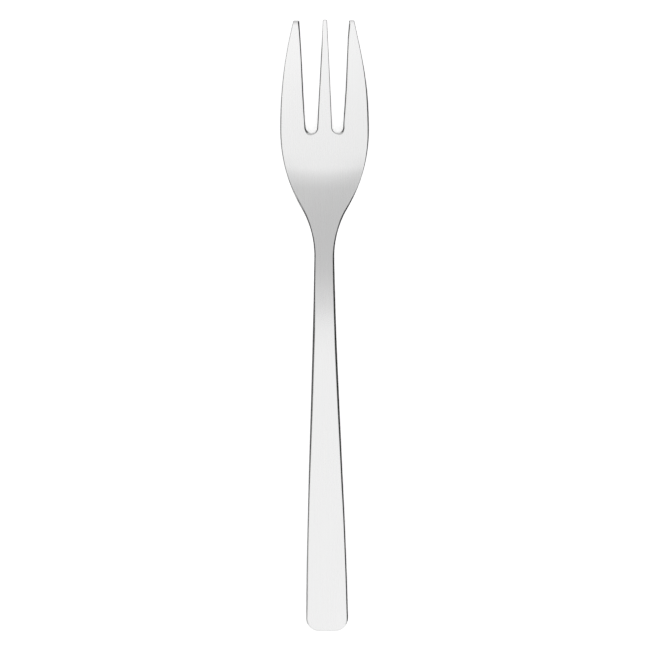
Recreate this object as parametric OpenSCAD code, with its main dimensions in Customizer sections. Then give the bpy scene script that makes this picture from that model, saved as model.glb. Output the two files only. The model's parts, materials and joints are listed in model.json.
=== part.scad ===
// A pastry fork with three tines, stamped and bent from one strip of stainless steel.
// It is drawn in the handle's own frame: X across, Y from the handle's end to the tips, Z up.
// Last of all it is tilted until it rests on its handle end and the underside of its bowl.

/* [Plan] */
// Length of handle that stays flat, from its end to the start of the bend
flat_l = 70.35; // [67:0.05:73]
// Length from there to the middle tine's tip
bent_l = 84.1; // [80:0.05:88]
// Width across the handle's end
end_w = 10.7; // [10:0.1:11.5]
// Radius of the two corners of the handle's end
end_corner_r = 3.3; // [2.5:0.1:4]
// Width of the neck at its narrowest
neck_w = 5.04; // [4.4:0.02:5.8]
// Radius of the hollow on each side of the neck
neck_r = 22.4; // [19:0.1:26]
// Width of the head at its widest
head_w = 22.44; // [21.5:0.02:24]
// Distance from the middle tip back to the widest place
head_back = 28.2; // [26.5:0.1:30]
// Radius of the shoulders below the widest place
shoulder_r = 38.4; // [33:0.1:42]
// Radius of the outer sides of the tines
tine_side_r = 110; // [95:1:130]
// Share of a straight taper with which the handle starts to widen at the neck
neck_taper_share = 0.56; // [0.3:0.01:0.8]
// Share of a straight taper left where the handle ends
end_taper_share = 0.38; // [0.2:0.01:0.8]

/* [Tines] */
// Distance between the middle lines of the two slots
slot_pitch = 6.75; // [6.5:0.05:7.2]
// Length of the slots from the middle tip to their round ends
slot_l = 29.1; // [26:0.1:30]
// Width of each slot at the tips
slot_tip_w = 5.7; // [5.3:0.02:5.78]
// Radius of the round end of each slot
slot_root_r = 1.5; // [1.2:0.02:1.6]
// How far the side tines stop short of the middle one
side_tip_back = 0.2; // [0:0.05:0.8]

/* [Metal] */
// Thickness of the handle
handle_t = 2.3; // [2:0.05:2.6]
// Thickness of the bowl
bowl_t = 1.6; // [1.4:0.05:1.9]
// Thickness at the tips
tip_t = 1.15; // [1.05:0.05:1.3]
// Radius of the polished edges
edge_r = 0.3; // [0.22:0.02:0.36]

/* [Bends] */
// Radius of the bend down from the handle to the neck
bend_r = 64.5; // [60:0.5:70]
// Steepest angle of the neck below the line of the handle
bend_a = 25.9; // [24:0.1:28]
// Radius of the long easy run from the neck to the bowl
shank_r = 88; // [76:1:105]
// Angle at which that run meets the bowl
shank_a = 16.9; // [15:0.1:19]
// Radius of the bowl's bend
bowl_r = 25.5; // [22:0.5:30]
// Angle at which the bowl passes into the tines
tine_a = 3.7; // [2:0.1:6]
// Radius of the tines' upward curve
tine_r = 146; // [130:1:165]
// How much higher the bowl's sides lie than its middle, at full width
dish_h = 0.7; // [0.3:0.05:0.8]
// Share of that rise left in the tines
tine_dish_share = 0.3; // [0.2:0.05:0.6]

/* [Hidden] */

// Steps in each run of the drawing
edge_steps = 2;
corner_steps = 3;
tine_steps = 11;
root_steps = 8;
web_steps = 3;
bowl_steps = 14;
bend_steps = 10;
handle_steps = 5;
end_steps = 5;
// Columns across, as shares of half the middle tine and of a whole side tine
middle_shares = [0, 0.5, 1];
side_shares = [0, 1 / 3, 2 / 3, 1];
// The web below the slots settles into straight rows over this share of a slot's round end
web_share = 2;
// Where the dish is deepest, and where it is down to what the tines keep, as shares of the
// way from the neck to the widest place
dish_share = 0.5;
dish_end_share = 0.82;
// Radius of the tips' corners, as a share of the rounded edge
tip_corner_share = 1.15;

// Places worked out from the sizes above
end_y = 0;
tip_y = flat_l + bent_l;
side_tip_y = tip_y - side_tip_back;
head_y = tip_y - head_back;
tine_axis_x = head_w / 2 - tine_side_r;
shoulder_axis_x = head_w / 2 - shoulder_r;
neck_axis_x = neck_w / 2 + neck_r;
arcs_reach = shoulder_r + neck_r;
arcs_y = sqrt(pow(arcs_reach, 2) - pow(neck_axis_x - shoulder_axis_x, 2));
neck_y = head_y - arcs_y;

slot_x = slot_pitch / 2;
slot_y = tip_y - slot_l + slot_root_r;
slot_run = tip_y - slot_y;
slot_lean = acos(slot_root_r / norm([slot_tip_w / 2, slot_run])) - atan2(slot_run, slot_tip_w / 2);
web_y = slot_y - slot_root_r - web_share * slot_root_r;
tip_corner_r = tip_corner_share * edge_r;

bend_y = flat_l + bend_r * sin(bend_a);
shank_y = bend_y + shank_r * (sin(bend_a) - sin(shank_a));
bowl_y = shank_y + bowl_r * (sin(shank_a) - sin(tine_a));
bend_drop = bend_r * (1 - cos(bend_a));
shank_drop = bend_drop + shank_r * (cos(shank_a) - cos(bend_a));
bowl_drop = shank_drop + bowl_r * (cos(tine_a) - cos(shank_a));
dish_y = mix(neck_y, head_y, dish_share);
dish_end_y = mix(neck_y, head_y, dish_end_share);

function mix(a, b, share) = a * (1 - share) + b * share;
function held(share) = min(1, max(0, share));
function eased(from, to, y) = let (s = held((y - from) / (to - from))) s * s * (3 - 2 * s);
function backward(list) = [for (i = [len(list) - 1:-1:0]) list[i]];
function arc(axis, r, from, to, steps) = [
    for (i = [0:steps])
        let (a = mix(from, to, i / steps))
        [axis.x + r * cos(a), axis.y + r * sin(a)]
];

// Angle below the handle's line of the metal's middle surface, and its depth there
function slope(y) =
    y <= flat_l ? 0 :
    y <= bend_y ? asin((y - flat_l) / bend_r) :
    y <= shank_y ? asin(sin(bend_a) - (y - bend_y) / shank_r) :
    y <= bowl_y ? asin(sin(shank_a) - (y - shank_y) / bowl_r) :
    asin(sin(tine_a) - (y - bowl_y) / tine_r);
function depth(y) =
    let (c = cos(slope(y)))
    y <= flat_l ? 0 :
    y <= bend_y ? bend_r * (1 - c) :
    y <= shank_y ? bend_drop + shank_r * (c - cos(bend_a)) :
    y <= bowl_y ? shank_drop + bowl_r * (c - cos(shank_a)) :
    bowl_drop + tine_r * (c - cos(tine_a));
function thickness(y) =
    y <= bowl_y
        ? mix(handle_t, bowl_t, eased(flat_l, bowl_y, y))
        : mix(bowl_t, tip_t, (y - bowl_y) / (tip_y - bowl_y));
function dish(x, y) =
    dish_h * pow(2 * x / head_w, 2)
    * eased(neck_y, dish_y, y)
    * mix(1, tine_dish_share, eased(dish_y, dish_end_y, y));
function surface_z(x, y, side, sunk) =
    dish(x, y) - depth(y) + side * (thickness(y) / 2 / cos(slope(y)) - sunk);

// Half the width at a place along the handle, as a smooth taper
function handle_half(y) =
    let (s = (neck_y - y) / neck_y)
    neck_w / 2 + (end_w - neck_w) / 2 * (
        neck_taper_share * s * pow(1 - s, 2)
        + s * s * (3 - 2 * s)
        - end_taper_share * s * s * (1 - s));

// The outer outline, moved inward by an inset
function outline_x(y, inset) =
    y >= head_y ? tine_axis_x + sqrt(pow(tine_side_r - inset, 2) - pow(y - head_y, 2)) :
    y >= head_y - arcs_y * (shoulder_r - inset) / arcs_reach
        ? shoulder_axis_x + sqrt(pow(shoulder_r - inset, 2) - pow(y - head_y, 2)) :
    y >= neck_y ? neck_axis_x - sqrt(pow(neck_r + inset, 2) - pow(y - neck_y, 2)) :
    handle_half(y) - inset;

// A slot's wall, measured from the slot's middle line and moved into the metal by an inset
function slot_half(y, inset) =
    (slot_root_r + inset + (y - slot_y) * sin(slot_lean)) / cos(slot_lean);
function root_x(inset) = (slot_root_r + inset) * cos(slot_lean);
function root_y(inset) = slot_y - (slot_root_r + inset) * sin(slot_lean);

// Edges of the right half, each from the tips toward the handle
function middle_edge(inset) =
    let (
        top = tip_y - tip_corner_r,
        axis = [slot_x - slot_half(top, tip_corner_r), top]
    )
    concat(
        arc(axis, tip_corner_r - inset, 90, slot_lean, corner_steps),
        [for (i = [1:tine_steps - 1])
            let (y = mix(top, slot_y, i / tine_steps))
            [slot_x - slot_half(y, inset), y]],
        [[slot_x - root_x(inset), root_y(inset)]]);
function inner_edge(inset) =
    let (
        top = side_tip_y - tip_corner_r,
        axis = [slot_x + slot_half(top, tip_corner_r), top]
    )
    concat(
        arc(axis, tip_corner_r - inset, 90, 180 - slot_lean, corner_steps),
        [for (i = [1:tine_steps - 1])
            let (y = mix(top, slot_y, i / tine_steps))
            [slot_x + slot_half(y, inset), y]],
        [[slot_x + root_x(inset), root_y(inset)]]);
function outer_edge(inset) =
    let (
        top = side_tip_y - tip_corner_r,
        axis = [outline_x(top, tip_corner_r), top],
        lean = atan2(top - head_y, axis.x - tine_axis_x)
    )
    concat(
        arc(axis, tip_corner_r - inset, 90, lean, corner_steps),
        [for (i = [1:tine_steps])
            let (y = mix(top, slot_y, i / tine_steps))
            [outline_x(y, inset), y]]);
function root_edge(inset) =
    let (round = arc([slot_x, slot_y], slot_root_r + inset, 180 + slot_lean, 360 - slot_lean, root_steps))
    [for (i = [1:root_steps - 1]) round[i]];
function web_edge(inset) = [
    for (i = [1:web_steps])
        let (y = mix(slot_y, web_y, i / web_steps))
        [outline_x(y, inset), y]
];
function body_ys() = concat(
    [for (i = [1:bowl_steps]) mix(web_y, neck_y, i / bowl_steps)],
    [for (i = [1:bend_steps]) mix(neck_y, flat_l, i / bend_steps)],
    [for (i = [1:handle_steps]) mix(flat_l, end_corner_r, i / handle_steps)]);
function end_edge(inset) =
    let (round = arc([handle_half(end_corner_r) - end_corner_r, end_corner_r], end_corner_r - inset, 0, -90, end_steps))
    [for (i = [1:end_steps]) round[i]];
function body_edge(inset) = concat(
    [for (y = body_ys()) [outline_x(y, inset), y]],
    end_edge(inset));
function whole_edge(inset) =
    let (
        middle = middle_edge(inset),
        inner = inner_edge(inset),
        outer = outer_edge(inset),
        body = body_edge(inset),
        corner = body[len(body) - 1],
        shares = body_shares()
    )
    concat(
        [for (i = [0:len(middle_shares) - 2]) [middle_shares[i] * middle[0].x, middle[0].y]],
        middle,
        root_edge(inset),
        backward(inner),
        [for (i = [1:len(side_shares) - 2]) mix(inner[0], outer[0], side_shares[i])],
        outer,
        web_edge(inset),
        body,
        [for (i = [len(shares) - 2:-1:0]) [shares[i] * corner.x, corner.y]]);

// Rows of plan points across the face, inside the rounded edge
function middle_rows() = [for (p = middle_edge(edge_r)) [for (s = middle_shares) [s * p.x, p.y]]];
function side_rows() =
    let (inner = inner_edge(edge_r), outer = outer_edge(edge_r))
    [for (i = [0:len(inner) - 1]) [for (s = side_shares) mix(inner[i], outer[i], s)]];
function root_row() =
    let (middle = middle_rows(), side = side_rows())
    concat(middle[len(middle) - 1], root_edge(edge_r), side[len(side) - 1]);
function body_shares() =
    let (row = root_row(), last = row[len(row) - 1])
    [for (p = row) p.x / last.x];
function web_rows() =
    let (
        row = root_row(),
        shares = body_shares(),
        edge = concat([row[len(row) - 1]], web_edge(edge_r)),
        wide = outline_x(web_y, edge_r)
    )
    [for (k = [0:web_steps]) [
        for (i = [0:len(row) - 1])
            i == len(row) - 1 ? edge[k] : mix(row[i], [shares[i] * wide, web_y], k / web_steps)
    ]];
function body_rows() =
    let (shares = body_shares(), edge = concat([[outline_x(web_y, edge_r), web_y]], body_edge(edge_r)))
    [for (p = edge) [for (s = shares) [s * p.x, p.y]]];

// Each sheet is a grid of points, its faces clockwise from outside
function raised(rows, side, sunk) = [
    for (row = rows) [for (p = row) [p.x, p.y, surface_z(p.x, p.y, side, sunk)]]
];
function turned(sheet) = [for (row = sheet) backward(row)];
function edge_inset(i) = edge_r * (1 - cos(90 * i / edge_steps));
function edge_sunk(i) = edge_r * (1 - sin(90 * i / edge_steps));
function edge_sheet(side) = [
    for (i = [0:edge_steps]) raised([whole_edge(edge_inset(i))], side, edge_sunk(i))[0]
];
function face_sheets(side) = [
    raised(middle_rows(), side, 0),
    raised(side_rows(), side, 0),
    raised(web_rows(), side, 0),
    raised(body_rows(), side, 0),
    edge_sheet(side)
];
function first_of_rows(sheet, from) = [for (i = [from:len(sheet) - 1]) sheet[i][0]];
function middle_line(side) =
    let (
        sheets = face_sheets(side),
        edge = sheets[4],
        last = len(edge[0]) - 1
    )
    concat(
        [for (i = [0:edge_steps - 1]) edge[i][0]],
        first_of_rows(sheets[0], 0),
        first_of_rows(sheets[2], 1),
        first_of_rows(sheets[3], 1),
        [for (i = [edge_steps - 1:-1:0]) edge[i][last]]);

top_sheets = face_sheets(1);
under_sheets = face_sheets(-1);
sheets = concat(
    top_sheets,
    [for (sheet = under_sheets) turned(sheet)],
    [[under_sheets[4][0], top_sheets[4][0]]],
    [[middle_line(1), middle_line(-1)]]);
points = [for (sheet = sheets) for (row = sheet) for (p = row) p];
starts = [for (i = 0, n = 0; i < len(sheets); n = n + len(sheets[i]) * len(sheets[i][0]), i = i + 1) n];
faces = [
    for (k = [0:len(sheets) - 1])
        let (wide = len(sheets[k][0]))
        for (i = [0:len(sheets[k]) - 2])
            for (j = [0:wide - 2])
                let (a = starts[k] + i * wide + j, b = a + 1, c = b + wide, d = a + wide)
                each [[a, b, c], [a, c, d]]
];

// Resting pose: the tilt at which bowl and handle end touch the table together
under_line = middle_line(-1);
heel = [end_y + edge_r, -handle_t / 2];
tilt = max([for (p = under_line) p.y > neck_y ? atan2(heel.y - p.z, p.y - heel.x) : 0]);
lie_ys = [for (p = points) p.y * cos(tilt) - p.z * sin(tilt)];
lie_zs = [for (p = points) p.y * sin(tilt) + p.z * cos(tilt)];

module right_half() {
    polyhedron(points = points, faces = faces, convexity = 4);
}

module pastry_fork() {
    color([0.78, 0.78, 0.79])
    translate([0, -(min(lie_ys) + max(lie_ys)) / 2, -min(lie_zs)])
    rotate([tilt, 0, 0])
    union() {
        right_half();
        mirror([1, 0, 0]) right_half();
    }
}

pastry_fork();
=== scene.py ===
import json
import math

import bmesh
import bpy
import numpy as np
from mathutils import Matrix, Vector


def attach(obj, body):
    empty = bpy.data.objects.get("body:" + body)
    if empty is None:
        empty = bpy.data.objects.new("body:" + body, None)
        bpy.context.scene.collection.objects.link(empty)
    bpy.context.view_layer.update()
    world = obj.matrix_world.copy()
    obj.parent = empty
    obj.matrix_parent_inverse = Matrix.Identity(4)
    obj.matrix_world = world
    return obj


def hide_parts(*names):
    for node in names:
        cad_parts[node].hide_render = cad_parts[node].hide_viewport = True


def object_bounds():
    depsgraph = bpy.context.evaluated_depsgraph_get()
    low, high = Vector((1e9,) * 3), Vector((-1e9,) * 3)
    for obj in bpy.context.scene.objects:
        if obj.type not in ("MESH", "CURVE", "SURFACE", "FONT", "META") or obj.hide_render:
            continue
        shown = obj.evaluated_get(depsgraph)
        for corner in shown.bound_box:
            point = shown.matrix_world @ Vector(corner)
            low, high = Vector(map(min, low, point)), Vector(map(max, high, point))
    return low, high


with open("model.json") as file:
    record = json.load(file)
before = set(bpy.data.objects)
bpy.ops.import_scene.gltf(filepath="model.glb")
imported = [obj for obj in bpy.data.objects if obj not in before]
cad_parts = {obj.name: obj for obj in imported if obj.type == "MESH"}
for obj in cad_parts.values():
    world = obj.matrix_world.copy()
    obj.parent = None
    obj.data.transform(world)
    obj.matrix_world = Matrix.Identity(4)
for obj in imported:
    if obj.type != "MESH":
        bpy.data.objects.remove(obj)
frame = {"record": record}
cad_low, cad_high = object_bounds()

MM = 0.001

# Plan of the fork in millimetres, from the handle's end at 0 to the tips
FORK_L = 154.45
END_W = 10.7
END_CORNER_R = 3.3
NECK_W = 5.04
NECK_R = 22.4
HEAD_W = 22.44
HEAD_BACK = 28.2
SHOULDER_R = 38.4
TINE_SIDE_R = 110.0

# Slope of the handle's sides at the neck and at its end, as shares of a straight taper's slope
NECK_TAPER_SHARE = 0.56
END_TAPER_SHARE = 0.38

# Tines and the slots between them
SLOT_PITCH = 6.75
SLOT_L = 29.1
SLOT_TIP_W = 5.7
SLOT_ROOT_R = 1.5
SIDE_TIP_BACK = 0.2
TIP_CORNER_R = 0.22

# Metal thickness
HANDLE_T = 2.3
BOWL_T = 1.6
TIP_T = 1.15

# Width of the softened edge across the handle's end and the tips, seen from above
END_RIM = 0.37
TIP_RIM = 0.13

# What differs between the two halves, as hand finishing left it: (place, size) in millimetres.
# outer, side_tine and middle_tine are widths of the softened edges, seen from above.
# slot_narrowing is how far a side tine's wall stands into its slot. root_fill makes a slot's
# round end tighter and root_widening its edge wider, and the places of these two are shares of
# the way round that end, from the middle tine to the side tine.
RIGHT_HALF = {
    "outer": (
        (4, END_RIM), (11, 0.38), (26, 0.4), (33, 0.45), (48, 0.52), (56, 0.58), (71, 0.61),
        (79, 0.56), (86, 0.55), (94, 0.5), (98, 0.4), (101.5, 0.36), (105, 0.51), (109, 0.39),
        (112.5, 0.15), (116, 0.17), (121, 0.28), (125, 0.37), (129, 0.41), (134, 0.38),
        (139, 0.26), (144, 0.17), (150, TIP_RIM)),
    "side_tine": (
        (126.9, 0.42), (127.6, 0.32), (128.5, 0.28), (131, 0.34), (139.5, 0.34), (144.6, 0.3),
        (150, 0.33), (152, 0.4), (153.5, 0.42), (154, 0.22)),
    "middle_tine": ((126, 0.2), (134.5, 0.19), (139.5, 0.15), (144.6, TIP_RIM)),
    "slot_narrowing": ((127, 0.18), (131.5, 0.1), (137, 0)),
    "root_fill": ((0, 0), (0.5, 0.08), (0.75, 0.08), (1, 0)),
    "root_widening": ((0.45, 0), (0.7, 0.27), (0.94, 0)),
}
LEFT_HALF = {
    "outer": (
        (4, END_RIM), (7, 0.44), (18, 0.39), (26, 0.36), (33, 0.39), (48, 0.52), (56, 0.58),
        (71, 0.62), (76, 0.66), (81, 0.56), (86, 0.43), (94, 0.4), (101.5, 0.35), (105, 0.48),
        (109, 0.57), (112.5, 0.28), (116, 0.21), (121, 0.24), (129, 0.3), (134, 0.23),
        (139, 0.19), (144, TIP_RIM)),
    "side_tine": (
        (126.9, 0.4), (127.6, 0.28), (128.5, 0.25), (131, 0.3), (134.5, 0.35), (139.5, 0.34),
        (144.6, 0.29), (150, 0.32), (152, 0.35), (153, 0.4), (153.6, 0.43), (154, 0.36)),
    "middle_tine": (
        (126, 0.31), (131, 0.29), (134.5, 0.26), (139.5, 0.27), (144.6, 0.28), (148, 0.28),
        (151, 0.17), (153, TIP_RIM)),
    "slot_narrowing": ((126.9, 0.08), (128.3, -0.05), (136, -0.05), (145, 0)),
    "root_fill": ((0.5, 0), (0.75, 0.14), (1, 0)),
    "root_widening": ((0.45, 0), (0.7, 0.27), (0.94, 0)),
}

# Side tips filed down on their upper face: (length, height)
LEFT_TIP_FILED = (1.2, 0.4)
RIGHT_TIP_FILED = (0.8, 0.2)

# How far the tines lean to the right at their tips, the side tines only toward the slots, and
# how far and over what length the right tip leans besides
MIDDLE_TINE_LEAN = 0.4
SIDE_TINE_LEAN = 0.2
RIGHT_TIP_LEAN = 0.2
RIGHT_TIP_LEAN_L = 4.5

# Sideways bow of the handle and neck, and swell of the right tine's outer side: (place, shift)
BOW = ((31, 0), (38, -0.04), (85, -0.03), (95, -0.08), (109, -0.08), (119, -0.04), (125, 0))
RIGHT_SWELL = ((126, 0), (131, 0.05), (136, 0.1), (140, 0.05), (145, 0))

# How sharply a side tine's shift changes toward its outer side
NEAR_SIDE_POWER = 4

# Bends of the metal's middle surface
FLAT_L = 70.35
BEND_R = 64.5
BEND_A = math.radians(25.9)
SHANK_R = 88.0
SHANK_A = math.radians(16.9)
BOWL_R = 25.5
TINE_A = math.radians(3.7)
TINE_R = 146.0

# The tilt at which the fork rests on a table, read off the flat face of its handle in the frame
FACE_MOUNT = next(m for m in frame["record"]["mounts"] if m["name"] == "handle_face")
REST_TILT = math.asin(-FACE_MOUNT["axis"][1])

# Dish of the bowl, and the share of it that the tines keep
DISH_H = 0.7
TINE_DISH_SHARE = 0.3

# Where the dish is full, and where it is down to what the tines keep, from neck to head
DISH_FULL_SHARE = 0.5
DISH_SETTLED_SHARE = 0.82

# Shape of a softened edge: a soft crown, a straight bevel and a tight outer round
BEVEL_A = math.radians(36)
CROWN_SHARE = 0.35
ROUND_SHARE = 0.15

# Share of the metal's thickness, midway between the faces, that gives way where a tip is filed
WALL_SHARE = 0.35

# Steps in each run of the mesh
TINE_STEPS = 40
TIP_STEPS = 8
CORNER_STEPS = 5
ROOT_STEPS = 20
WEB_STEPS = 6
BOWL_STEPS = 56
BEND_STEPS = 40
HANDLE_STEPS = 24
END_STEPS = 14
WALL_STEPS = 3
CROWN_STEPS = 5
ROUND_STEPS = 4
MIDDLE_STEPS = 5
SIDE_STEPS = 10

# The run with closer steps at a tip, and the run in which the rows below a slot grow straight
TIP_RUN = 1.6
WEB_L = 3 * SLOT_ROOT_R

# Points closer than this become one
WELD = 0.002

# The mesh keeps just inside the solid's box
FIT_SHARE = 0.9999

# Places that follow from the sizes above
TIP_Y = FORK_L
SIDE_TIP_Y = TIP_Y - SIDE_TIP_BACK
HEAD_Y = TIP_Y - HEAD_BACK
TINE_AXIS_X = HEAD_W / 2 - TINE_SIDE_R
SHOULDER_AXIS_X = HEAD_W / 2 - SHOULDER_R
NECK_AXIS_X = NECK_W / 2 + NECK_R
ARCS_REACH = SHOULDER_R + NECK_R
ARCS_Y = math.sqrt(ARCS_REACH ** 2 - (NECK_AXIS_X - SHOULDER_AXIS_X) ** 2)
NECK_Y = HEAD_Y - ARCS_Y
SLOT_X = SLOT_PITCH / 2
SLOT_Y = TIP_Y - SLOT_L + SLOT_ROOT_R
SLOT_RUN = TIP_Y - SLOT_Y
SLOT_LEAN = (math.acos(SLOT_ROOT_R / math.hypot(SLOT_TIP_W / 2, SLOT_RUN))
             - math.atan2(SLOT_RUN, SLOT_TIP_W / 2))
WEB_Y = SLOT_Y - WEB_L
BEND_Y = FLAT_L + BEND_R * math.sin(BEND_A)
SHANK_Y = BEND_Y + SHANK_R * (math.sin(BEND_A) - math.sin(SHANK_A))
BOWL_Y = SHANK_Y + BOWL_R * (math.sin(SHANK_A) - math.sin(TINE_A))
BEND_DROP = BEND_R * (1 - math.cos(BEND_A))
SHANK_DROP = BEND_DROP + SHANK_R * (math.cos(SHANK_A) - math.cos(BEND_A))
BOWL_DROP = SHANK_DROP + BOWL_R * (math.cos(TINE_A) - math.cos(SHANK_A))
DISH_Y = NECK_Y + DISH_FULL_SHARE * (HEAD_Y - NECK_Y)
DISH_END_Y = NECK_Y + DISH_SETTLED_SHARE * (HEAD_Y - NECK_Y)
MIDDLE_SHARES = np.linspace(0, 1, MIDDLE_STEPS + 1)
SIDE_SHARES = np.linspace(0, 1, SIDE_STEPS + 1)


def mix(a, b, share):
    """A value between a and b."""
    return a * (1 - share) + b * share


def eased(start, end, y):
    """0 before start, 1 after end, smooth in between."""
    s = np.clip((y - start) / (end - start), 0, 1)
    return s * s * (3 - 2 * s)


def read_off(table, place):
    """The size that a table of (place, size) gives at a place."""
    return np.interp(place, *zip(*table))


# Side profile of the fork
def slope(y):
    """Angle of the metal below the handle's line."""
    sine = np.select(
        [y <= FLAT_L, y <= BEND_Y, y <= SHANK_Y, y <= BOWL_Y],
        [0 * y,
         (y - FLAT_L) / BEND_R,
         math.sin(BEND_A) - (y - BEND_Y) / SHANK_R,
         math.sin(SHANK_A) - (y - SHANK_Y) / BOWL_R],
        math.sin(TINE_A) - (y - BOWL_Y) / TINE_R)
    return np.arcsin(sine)


def depth(y):
    """How far the metal's middle lies below the handle's line."""
    c = np.cos(slope(y))
    return np.select(
        [y <= FLAT_L, y <= BEND_Y, y <= SHANK_Y, y <= BOWL_Y],
        [0 * y,
         BEND_R * (1 - c),
         BEND_DROP + SHANK_R * (c - math.cos(BEND_A)),
         SHANK_DROP + BOWL_R * (c - math.cos(SHANK_A))],
        BOWL_DROP + TINE_R * (c - math.cos(TINE_A)))


def thickness(y):
    """Metal thickness, square to its surface."""
    handle = mix(HANDLE_T, BOWL_T, eased(FLAT_L, BOWL_Y, y))
    tines = mix(BOWL_T, TIP_T, (y - BOWL_Y) / (TIP_Y - BOWL_Y))
    return np.where(y <= BOWL_Y, handle, tines)


def dish(x, y):
    """Rise of the bowl toward its sides."""
    rise = DISH_H * (2 * x / HEAD_W) ** 2 * eased(NECK_Y, DISH_Y, y)
    return rise * mix(1, TINE_DISH_SHARE, eased(DISH_Y, DISH_END_Y, y))


# Outline of one half, moved inward by a share of the softened edge
def handle_half(y):
    """Half the handle's width."""
    s = (NECK_Y - y) / NECK_Y
    widening = (NECK_TAPER_SHARE * s * (1 - s) ** 2 + eased(0, 1, s)
                - END_TAPER_SHARE * s * s * (1 - s))
    return NECK_W / 2 + (END_W - NECK_W) / 2 * widening


def outline_x(y, inset):
    """The outer side of the fork."""
    if y >= HEAD_Y:
        return TINE_AXIS_X + math.sqrt((TINE_SIDE_R - inset) ** 2 - (y - HEAD_Y) ** 2)
    if y >= HEAD_Y - ARCS_Y * (SHOULDER_R - inset) / ARCS_REACH:
        return SHOULDER_AXIS_X + math.sqrt((SHOULDER_R - inset) ** 2 - (y - HEAD_Y) ** 2)
    if y >= NECK_Y:
        return NECK_AXIS_X - math.sqrt((NECK_R + inset) ** 2 - (y - NECK_Y) ** 2)
    return handle_half(y) - inset


def side_run(half, share, ys):
    """The outer side at the given places."""
    return [(outline_x(y, share * read_off(half["outer"], y)), y) for y in ys]


def slot_half(y, inset):
    """A slot's wall, measured from the slot's middle line."""
    return (SLOT_ROOT_R + inset + (y - SLOT_Y) * math.sin(SLOT_LEAN)) / math.cos(SLOT_LEAN)


def narrowing(half, side, y):
    """How far a slot's wall stands inward; side goes from 1 at the side tine to -1 across the slot."""
    return max(side, 0) * read_off(half["slot_narrowing"], y)


def arc(x, y, r, start, end, steps):
    """Points along an arc, its angles in radians."""
    return [(x + r * math.cos(a), y + r * math.sin(a)) for a in np.linspace(start, end, steps + 1)]


def tine_ys(top):
    """Places down a tine, close together at its tip."""
    tip = np.linspace(top, top - TIP_RUN, TIP_STEPS + 1)[1:]
    return np.concatenate([tip, np.linspace(top - TIP_RUN, SLOT_Y, TINE_STEPS + 1)[1:]])


def down_the_slot(half, name, side, top, share):
    """One long wall of a slot, from below its tip corner to the slot's round end."""
    run = []
    for y in tine_ys(top)[:-1]:
        x = SLOT_X + side * slot_half(y, share * read_off(half[name], y))
        run.append((x - narrowing(half, side, y), y))
    r = SLOT_ROOT_R + share * read_off(half[name], SLOT_Y)
    x = SLOT_X + side * r * math.cos(SLOT_LEAN)
    run.append((x - narrowing(half, side, SLOT_Y), SLOT_Y - r * math.sin(SLOT_LEAN)))
    return run


def middle_edge(half, share):
    """The middle tine's wall."""
    top = TIP_Y - TIP_CORNER_R
    x = SLOT_X - slot_half(top, TIP_CORNER_R)
    r = TIP_CORNER_R - share * TIP_RIM
    corner = arc(x, top, r, math.pi / 2, SLOT_LEAN, CORNER_STEPS)
    return corner + down_the_slot(half, "middle_tine", -1, top, share)


def inner_edge(half, share):
    """The wall of a side tine that faces the slot."""
    top = SIDE_TIP_Y - TIP_CORNER_R
    wider = read_off(half["side_tine"], top) - TIP_RIM
    x = SLOT_X + slot_half(top, TIP_CORNER_R) + share * wider
    r = TIP_CORNER_R - share * TIP_RIM
    corner = arc(x, top, r, math.pi / 2, math.pi - SLOT_LEAN, CORNER_STEPS)
    return corner + down_the_slot(half, "side_tine", 1, top, share)


def outer_edge(half, share):
    """The outer wall of a side tine."""
    top = SIDE_TIP_Y - TIP_CORNER_R
    x = outline_x(top, TIP_CORNER_R)
    lean = math.atan2(top - HEAD_Y, x - TINE_AXIS_X)
    corner = arc(x, top, TIP_CORNER_R - share * TIP_RIM, math.pi / 2, lean, CORNER_STEPS)
    return corner + side_run(half, share, tine_ys(top))


def root_edge(half, share):
    """The round end of a slot."""
    run = []
    middle_w = read_off(half["middle_tine"], SLOT_Y)
    side_w = read_off(half["side_tine"], SLOT_Y)
    for k in range(1, ROOT_STEPS):
        turned = k / ROOT_STEPS
        a = mix(math.pi + SLOT_LEAN, 2 * math.pi - SLOT_LEAN, turned)
        wide = mix(middle_w, side_w, eased(0, 1, turned)) + read_off(half["root_widening"], turned)
        r = SLOT_ROOT_R - read_off(half["root_fill"], turned) + share * wide
        x = SLOT_X + r * math.cos(a) - narrowing(half, math.cos(a), SLOT_Y)
        run.append((x, SLOT_Y + r * math.sin(a)))
    return run


def web_ys():
    """Rows just below the slots' round ends."""
    return np.linspace(SLOT_Y, WEB_Y, WEB_STEPS + 1)[1:]


def body_ys():
    """Rows from there to where the handle's corners begin."""
    bowl = np.linspace(WEB_Y, NECK_Y, BOWL_STEPS + 1)[1:]
    bend = np.linspace(NECK_Y, FLAT_L, BEND_STEPS + 1)[1:]
    handle = np.linspace(FLAT_L, END_CORNER_R, HANDLE_STEPS + 1)[1:]
    return np.concatenate([bowl, bend, handle])


def body_edge(half, share):
    """The outer side from the bowl to the middle of the handle's end."""
    x = handle_half(END_CORNER_R) - END_CORNER_R
    r = END_CORNER_R - share * END_RIM
    corner = arc(x, END_CORNER_R, r, 0, -math.pi / 2, END_STEPS)[1:]
    return side_run(half, share, body_ys()) + corner


# Rows of points across one half of the upper and under faces
def between(a, b, shares):
    """Points on the straight line from a to b."""
    return [(mix(a[0], b[0], s), mix(a[1], b[1], s)) for s in shares]


def middle_rows(half):
    """Rows across half of the middle tine; in the middle they meet those of the other half."""
    edge = middle_edge(half, 1)
    middles = [y for x, y in edge[:-1]] + [SLOT_Y]
    return [between((0, y), p, MIDDLE_SHARES) for y, p in zip(middles, edge)]


def side_rows(half):
    """Rows across a side tine."""
    return [between(a, b, SIDE_SHARES) for a, b in zip(inner_edge(half, 1), outer_edge(half, 1))]


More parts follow.
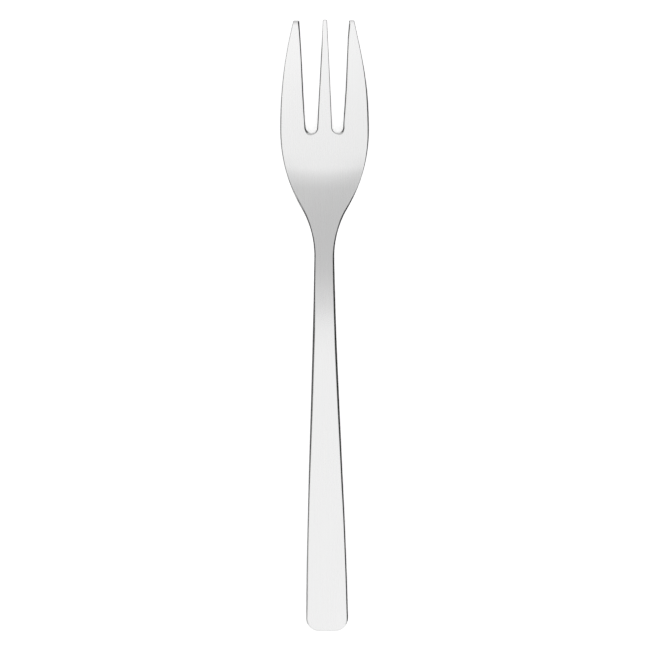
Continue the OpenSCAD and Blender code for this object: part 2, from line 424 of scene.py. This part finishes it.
def root_row(half):
    """The row that follows a slot's round end."""
    return middle_rows(half)[-1] + root_edge(half, 1) + side_rows(half)[-1]


def body_shares(half):
    """Columns across the bowl and handle, as shares of half the width."""
    row = root_row(half)
    return [p[0] / row[-1][0] for p in row]


def web_rows(half):
    """Rows that settle from the slot's round end into straight ones."""
    row = root_row(half)
    shares = body_shares(half)
    wide = outline_x(WEB_Y, read_off(half["outer"], WEB_Y))
    edge = [row[-1]] + side_run(half, 1, web_ys())
    rows = []
    for k, end in enumerate(edge):
        inner = [between(p, (s * wide, WEB_Y), [k / WEB_STEPS])[0] for p, s in zip(row, shares)]
        rows.append(inner[:-1] + [end])
    return rows


def body_rows(half):
    """Rows across the bowl, the neck and the handle."""
    shares = body_shares(half)
    edge = side_run(half, 1, [WEB_Y]) + body_edge(half, 1)
    return [[(s * p[0], p[1]) for s in shares] for p in edge]


def whole_edge(half, share):
    """The edge all round one half, from the middle tip to the middle of the handle's end."""
    middle = middle_edge(half, share)
    inner = inner_edge(half, share)
    outer = outer_edge(half, share)
    body = body_edge(half, share)
    tip = [(s * middle[0][0], middle[0][1]) for s in MIDDLE_SHARES[:-1]]
    side_tip = between(inner[0], outer[0], SIDE_SHARES[1:-1])
    end = [(s * body[-1][0], body[-1][1]) for s in body_shares(half)[-2::-1]]
    return (tip + middle + root_edge(half, share) + inner[::-1] + side_tip + outer
            + side_run(half, share, web_ys()) + body + end)


def rim_steps():
    """(share of the edge's width, depth below the face as a share of that width) from wall to face."""
    bevel = 1 - CROWN_SHARE * math.sin(BEVEL_A) - ROUND_SHARE * (1 - math.sin(BEVEL_A))
    crown_drop = CROWN_SHARE * (1 - math.cos(BEVEL_A))
    drop = crown_drop + bevel * math.tan(BEVEL_A) + ROUND_SHARE * math.cos(BEVEL_A)
    steps = []
    for a in np.linspace(math.pi / 2, BEVEL_A, ROUND_STEPS + 1):
        steps.append((ROUND_SHARE * (1 - math.sin(a)), drop - ROUND_SHARE * math.cos(a)))
    for a in np.linspace(BEVEL_A, 0, CROWN_STEPS + 1):
        steps.append((1 - CROWN_SHARE * math.sin(a), CROWN_SHARE * (1 - math.cos(a))))
    return steps


RIM = rim_steps()

# The fork's materials, in the order of their slots
FACE, EDGE = 0, 1


# Sheets of the mesh
class Sheets:
    """Collects grids of points, and the faces between them with their materials."""

    def __init__(self):
        self.points = []
        self.faces = []
        self.kinds = []

    def add(self, grid, kind, flip):
        """grid is rows by columns of points; flip turns its faces over, as the under side needs."""
        grid = np.asarray(grid, float)
        rows, wide = grid.shape[:2]
        start = sum(len(p) for p in self.points)
        self.points.append(grid.reshape(-1, 3))
        at = start + np.arange(rows * wide).reshape(rows, wide)
        quads = np.stack([at[:-1, :-1], at[1:, :-1], at[1:, 1:], at[:-1, 1:]], -1).reshape(-1, 4)
        self.faces.append(quads[:, ::-1] if flip else quads)
        self.kinds.append(np.full(len(quads), kind))


def raised(rows, side, sunk):
    """Plan points lifted onto the upper (1) or under (-1) surface, or sunk into the metal from it."""
    plan = np.asarray(rows, float)
    x, y = plan[..., 0], plan[..., 1]
    z = dish(x, y) - depth(y) + side * (thickness(y) / 2 / np.cos(slope(y)) - sunk)
    return np.stack([x, y, z], -1)


def half_fork(half):
    """The sheets of one half of the fork, drawn as the right one."""
    made = Sheets()
    edges = [whole_edge(half, share) for share, sunk in RIM]
    widths = np.linalg.norm(np.subtract(edges[0], edges[-1]), axis=1)
    for side, flip in ((1, False), (-1, True)):
        for rows in (middle_rows(half), side_rows(half), web_rows(half), body_rows(half)):
            made.add(raised(rows, side, 0), FACE, flip)
        levels = [raised(edge, side, sunk * widths) for edge, (share, sunk) in zip(edges, RIM)]
        made.add(levels, EDGE, flip)
    low = raised(edges[0], -1, RIM[0][1] * widths)
    high = raised(edges[0], 1, RIM[0][1] * widths)
    made.add([mix(low, high, s) for s in np.linspace(0, 1, WALL_STEPS + 1)], EDGE, False)
    return made


def both_halves():
    """Points, faces and materials of the whole fork, the left half mirrored."""
    right, left = half_fork(RIGHT_HALF), half_fork(LEFT_HALF)
    rights, lefts = np.concatenate(right.points), np.concatenate(left.points)
    points = np.concatenate([rights, lefts * (-1, 1, 1)])
    mirrored = np.concatenate(left.faces)[:, ::-1] + len(rights)
    faces = np.concatenate(right.faces + [mirrored])
    kinds = np.concatenate(right.kinds + left.kinds)
    return points, faces, kinds


# Hand finishing
def into_tip(y, length):
    """0 before a side tine's last stretch, 1 at its tip."""
    return np.clip((y - SIDE_TIP_Y) / length + 1, 0, 1)


def filed(points):
    """The side tips filed down on their upper face, the walls below it made lower by as much."""
    x, y, z = points.T
    up = np.clip((z - dish(x, y) + depth(y)) / (WALL_SHARE * thickness(y)) + 0.5, 0, 1)
    for tine, (length, height) in ((x < -SLOT_X, LEFT_TIP_FILED), (x > SLOT_X, RIGHT_TIP_FILED)):
        z = z - tine * up * height * into_tip(y, length) ** 2
    return np.stack([x, y, z], -1)


def leaned(points):
    """The tines leaned to the right, the handle and neck bowed and the right side swollen."""
    x, y, z = points.T
    along = np.clip((y - SLOT_Y) / SLOT_RUN, 0, 1)
    half_w = np.array([outline_x(min(at, SIDE_TIP_Y), 0) for at in y])
    near_side = np.minimum(np.abs(x) / half_w, 1) ** NEAR_SIDE_POWER
    right_tine = x > SLOT_X
    shift = along * np.where(np.abs(x) < SLOT_X, MIDDLE_TINE_LEAN, SIDE_TINE_LEAN * (1 - near_side))
    shift = shift + right_tine * RIGHT_TIP_LEAN * into_tip(y, RIGHT_TIP_LEAN_L)
    shift = shift + right_tine * near_side * read_off(RIGHT_SWELL, y)
    shift = shift + read_off(BOW, y)
    return np.stack([x + shift, y, z], -1)


# The whole fork as one mesh
def at_rest(points):
    """The fork laid down as it rests on a table, just inside the solid's box."""
    tilt = np.array(Matrix.Rotation(REST_TILT, 3, "X"))
    lying = points @ tilt.T
    low, high = lying.min(0), lying.max(0)
    box_low = np.array(cad_low) / MM
    box_high = np.array(cad_high) / MM
    scale = np.minimum((box_high - box_low) / (high - low), 1.0)
    return (lying - (low + high) / 2) * scale * FIT_SHARE + (box_low + box_high) / 2


def build_fork():
    """One smooth closed mesh of the whole fork."""
    points, faces, kinds = both_halves()
    places = at_rest(leaned(filed(points))) * MM
    mesh = bpy.data.meshes.new("fork_blank")
    mesh.from_pydata(places.tolist(), [], faces.tolist())
    mesh.polygons.foreach_set("material_index", kinds.astype(np.int32))
    work = bmesh.new()
    work.from_mesh(mesh)
    bmesh.ops.remove_doubles(work, verts=work.verts, dist=WELD * MM)
    bmesh.ops.recalc_face_normals(work, faces=work.faces)
    for face in work.faces:
        face.smooth = True
    work.to_mesh(mesh)
    work.free()
    made = bpy.data.objects.new("fork", mesh)
    bpy.context.scene.collection.objects.link(made)
    return made


# Node helpers
def link(tree, a, b):
    """A link from output a to input b."""
    tree.links.new(a, b)


def node(tree, kind, **settings):
    """A new node with its settings."""
    made = tree.nodes.new(kind)
    for name, value in settings.items():
        setattr(made, name, value)
    return made


def new_group(name, inputs, outputs):
    """An empty shader group whose sockets are all numbers: inputs as (label, start), outputs as labels."""
    tree = bpy.data.node_groups.new(name, "ShaderNodeTree")
    for label, start in inputs:
        socket = tree.interface.new_socket(name=label, in_out="INPUT", socket_type="NodeSocketFloat")
        socket.default_value = start
    for label in outputs:
        tree.interface.new_socket(name=label, in_out="OUTPUT", socket_type="NodeSocketFloat")
    return tree, tree.nodes.new("NodeGroupInput"), tree.nodes.new("NodeGroupOutput")


def use_group(tree, group, **values):
    """A group placed in a material; its inputs are given by their labels, with _ for each space."""
    made = node(tree, "ShaderNodeGroup", node_tree=group)
    for label, value in values.items():
        made.inputs[label.replace("_", " ")].default_value = value
    return made


def maths(tree, operation, *values):
    """A Math node on sockets or numbers. Returns its output."""
    made = node(tree, "ShaderNodeMath", operation=operation)
    for socket, value in zip(made.inputs, values):
        if isinstance(value, (int, float)):
            socket.default_value = value
        else:
            link(tree, value, socket)
    return made.outputs[0]


def mapped(tree, value, from_range, to_range):
    """A number taken from one range to another. Returns its output."""
    made = node(tree, "ShaderNodeMapRange")
    made.inputs["From Min"].default_value, made.inputs["From Max"].default_value = from_range
    made.inputs["To Min"].default_value, made.inputs["To Max"].default_value = to_range
    link(tree, value, made.inputs["Value"])
    return made.outputs[0]


def noise(tree, x, y, z, detail, roughness):
    """Noise read at a place given by three sockets. Returns its output."""
    where = node(tree, "ShaderNodeCombineXYZ")
    for socket, value in zip(where.inputs, (x, y, z)):
        link(tree, value, socket)
    made = node(tree, "ShaderNodeTexNoise")
    made.inputs["Scale"].default_value = 1.0
    made.inputs["Detail"].default_value = detail
    made.inputs["Roughness"].default_value = roughness
    link(tree, where.outputs[0], made.inputs["Vector"])
    return made.outputs["Fac"]


def own_place(tree):
    """The three coordinates of a point on the object."""
    place = node(tree, "ShaderNodeTexCoord")
    parts = node(tree, "ShaderNodeSeparateXYZ")
    link(tree, place.outputs["Object"], parts.inputs[0])
    return parts.outputs


# Most of a noise's readings lie in the first range, and they are taken to the second
NOISE_RANGE = (0.3, 0.7)
WHOLE_RANGE = (0, 1)

# The brushing of upright walls is read this far from that of the faces
WALL_SEED = 37.0

# A haze patch is this many times as long as it is wide
HAZE_STRETCH = 2.5


def brushing_group():
    """Fine lengthwise streaks left by the finishing belt, on faces and, turned, on upright walls."""
    tree, into, out = new_group(
        "Lengthwise Brushing",
        [("Streak Width", 0.2 * MM), ("Streak Length", 20 * MM), ("Upright", 0.0), ("Seed", 0.0)],
        ["Streaks", "Height"])
    place = own_place(tree)
    along = maths(tree, "DIVIDE", place["Y"], into.outputs["Streak Length"])
    readings = []
    for axis, shift in (("X", 0.0), ("Z", WALL_SEED)):
        across = maths(tree, "DIVIDE", place[axis], into.outputs["Streak Width"])
        seed = maths(tree, "ADD", into.outputs["Seed"], shift)
        readings.append(noise(tree, across, along, seed, detail=3.0, roughness=0.6))
    blend = node(tree, "ShaderNodeMix", data_type="FLOAT")
    link(tree, into.outputs["Upright"], blend.inputs[0])
    link(tree, readings[0], blend.inputs[2])
    link(tree, readings[1], blend.inputs[3])
    link(tree, blend.outputs[0], out.inputs["Height"])
    link(tree, mapped(tree, blend.outputs[0], NOISE_RANGE, WHOLE_RANGE), out.inputs["Streaks"])
    return tree


def haze_group():
    """Broad, faint unevenness of the finish, as left by the buffing wheel and by handling."""
    tree, into, out = new_group("Buffing Haze", [("Patch Size", 12 * MM), ("Seed", 0.0)], ["Haze"])
    place = own_place(tree)
    size = into.outputs["Patch Size"]
    across = maths(tree, "DIVIDE", place["X"], size)
    along = maths(tree, "DIVIDE", place["Y"], maths(tree, "MULTIPLY", size, HAZE_STRETCH))
    cloud = noise(tree, across, along, into.outputs["Seed"], detail=2.0, roughness=0.5)
    link(tree, mapped(tree, cloud, NOISE_RANGE, WHOLE_RANGE), out.inputs["Haze"])
    return tree


BRUSHING = brushing_group()
HAZE = haze_group()

# How much of the steel's tone comes from fine streaks, from broader bands and from haze
STREAK_SHARE = 0.45
BAND_SHARE = 0.25
HAZE_SHARE = 0.3

# Bands are this many streaks wide, and bands and haze have seeds of their own
BAND_WIDER = 5
BAND_SEED = 3.0
HAZE_SEED = 5.0

# Depth of the scratches at full relief
SCRATCH_DEPTH = 0.02 * MM


def steel(name, tones, roughness, streak_w, streak_l, relief, upright, seed):
    """A stainless steel finish: two close tones and a range of roughness, both following the streaks."""
    made = bpy.data.materials.new(name)
    made.use_nodes = True
    tree = made.node_tree
    shader = tree.nodes["Principled BSDF"]
    shader.inputs["Metallic"].default_value = 1.0

    brushing = use_group(tree, BRUSHING, Streak_Width=streak_w, Streak_Length=streak_l,
                         Upright=upright, Seed=seed)
    bands = use_group(tree, BRUSHING, Streak_Width=streak_w * BAND_WIDER, Streak_Length=streak_l,
                      Upright=upright, Seed=seed + BAND_SEED)
    haze = use_group(tree, HAZE, Seed=seed + HAZE_SEED)
    tone = maths(tree, "MULTIPLY", brushing.outputs["Streaks"], STREAK_SHARE)
    tone = maths(tree, "MULTIPLY_ADD", bands.outputs["Streaks"], BAND_SHARE, tone)
    tone = maths(tree, "MULTIPLY_ADD", haze.outputs["Haze"], HAZE_SHARE, tone)

    colour = node(tree, "ShaderNodeMix", data_type="RGBA")
    link(tree, tone, colour.inputs[0])
    for socket, grey in zip(colour.inputs[6:8], tones):
        socket.default_value = (grey, grey, grey, 1)
    link(tree, colour.outputs[2], shader.inputs["Base Color"])
    link(tree, mapped(tree, tone, WHOLE_RANGE, roughness), shader.inputs["Roughness"])

    bump = node(tree, "ShaderNodeBump")
    bump.inputs["Strength"].default_value = relief
    bump.inputs["Distance"].default_value = SCRATCH_DEPTH
    link(tree, brushing.outputs["Height"], bump.inputs["Height"])
    link(tree, bump.outputs[0], shader.inputs["Normal"])
    return made


def satin_faces():
    """The brushed upper and under faces."""
    return steel("Satin Steel Faces", tones=(0.826, 0.868), roughness=(0.25, 0.31),
                 streak_w=0.18 * MM, streak_l=22 * MM, relief=0.1, upright=0.0, seed=1.0)


def polished_edges():
    """The rolled edges and the punched walls of the slots."""
    return steel("Polished Steel Edges", tones=(0.763, 0.823), roughness=(0.16, 0.22),
                 streak_w=0.12 * MM, streak_l=9 * MM, relief=0.08, upright=1.0, seed=9.0)


# The fork
fork = build_fork()
fork.data.materials.append(satin_faces())
fork.data.materials.append(polished_edges())
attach(fork, "root")
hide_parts("pastry_fork")


# Floor and studio
def matt_paint(name, grey, seen_glow=0.0, mirrored_glow=0.0):
    """A matt paint that is lifted toward white by its glow, seen directly or mirrored in the metal."""
    made = bpy.data.materials.new(name)
    made.use_nodes = True
    tree = made.node_tree
    shader = tree.nodes["Principled BSDF"]
    shader.inputs["Base Color"].default_value = (grey, grey, grey, 1)
    shader.inputs["Roughness"].default_value = 1.0
    shader.inputs["Specular IOR Level"].default_value = 0.0
    if seen_glow > 0:
        rays = node(tree, "ShaderNodeLightPath").outputs
        mirrored = maths(tree, "MAXIMUM", rays["Is Glossy Ray"], rays["Is Transmission Ray"])
        glow = maths(tree, "MULTIPLY", mirrored, mirrored_glow)
        glow = maths(tree, "MULTIPLY_ADD", rays["Is Camera Ray"], seen_glow, glow)
        shader.inputs["Emission Color"].default_value = (1, 1, 1, 1)
        link(tree, glow, shader.inputs["Emission Strength"])
    return made


def panel(name, corners, paint):
    """A flat sheet of the studio."""
    mesh = bpy.data.meshes.new(name)
    mesh.from_pydata(corners, [], [(0, 1, 2, 3)])
    made = bpy.data.objects.new(name, mesh)
    bpy.context.scene.collection.objects.link(made)
    made.data.materials.append(paint)
    return made


def floor(reach):
    """The white table, as far as reach each way."""
    corners = [(-reach, -reach, 0), (reach, -reach, 0), (reach, reach, 0), (-reach, reach, 0)]
    paint = matt_paint("Floor White", grey=0.93, seen_glow=0.48, mirrored_glow=0.17)
    panel("floor", corners, paint)


def dark_card(name, x, front, back, height, grey):
    """An upright card beside the fork that only its metal mirrors."""
    corners = [(x, front, 0), (x, back, 0), (x, back, height), (x, front, height)]
    card = panel(name, corners, matt_paint(name.replace("_", " ").title(), grey))
    card.visible_camera = False
    card.visible_diffuse = False
    card.visible_shadow = False


def softbox(name, place, aim, width, height, level):
    """A soft area lamp that looks as bright as level where the metal mirrors it."""
    data = bpy.data.lights.new(name, "AREA")
    data.shape = "RECTANGLE"
    data.size = width
    data.size_y = height
    data.energy = level * math.pi * width * height
    made = bpy.data.objects.new(name, data)
    made.location = place
    made.rotation_euler = (Vector(aim) - Vector(place)).to_track_quat("-Z", "Y").to_euler()
    made.visible_camera = False
    bpy.context.scene.collection.objects.link(made)


def grey_world(level):
    """Even light from all round."""
    made = bpy.data.worlds.new("Studio Grey")
    made.use_nodes = True
    background = made.node_tree.nodes["Background"]
    background.inputs["Color"].default_value = (1, 1, 1, 1)
    background.inputs["Strength"].default_value = level
    return made


floor(reach=5)
dark_card("left_card", x=-1.0, front=-0.2, back=1.2, height=0.42, grey=0.06)
dark_card("right_card", x=1.0, front=-0.45, back=1.2, height=0.55, grey=0.02)
softbox("overhead_softbox", (0, -0.475, 1.01), (0, 0, 0), width=1.4, height=1.42, level=0.257)
softbox("overhead_fill", (0.65, -0.55, 1.4), (0.65, -0.55, 0), width=1.8, height=2.2, level=0.16)
softbox("front_fill", (0, -0.81, 1.2), (0, -0.81, 0), width=2.0, height=0.78, level=0.09)
softbox("low_softbox", (0, -1.6, 0.35), (0, 0, 0), width=4.2, height=0.8, level=0.46)

scene = bpy.context.scene
scene.world = grey_world(level=0.62)
scene.view_settings.view_transform = "Standard"

# Camera almost straight above, as in the photograph, with its small turns and shifts
CAMERA_H = 3.0
VIEW_W = 164.7 * MM
SENSOR_W = 36.0
SIDEWAYS = math.radians(1.87)
ROLL = math.radians(-0.29)
SHIFT_X = -0.22 * MM
SHIFT_Y = 0.15 * MM


def camera_above():
    """The camera, turned about the middle of the fork."""
    data = bpy.data.cameras.new("camera")
    data.sensor_width = SENSOR_W
    data.lens = SENSOR_W * CAMERA_H / VIEW_W
    data.clip_start = 0.1
    data.clip_end = 50.0
    made = bpy.data.objects.new("camera", data)
    turn = Matrix.Rotation(SIDEWAYS, 4, "Y") @ Matrix.Rotation(ROLL, 4, "Z")
    made.matrix_world = turn @ Matrix.Translation((SHIFT_X, SHIFT_Y, CAMERA_H))
    bpy.context.scene.collection.objects.link(made)
    return made


scene.camera = camera_above()
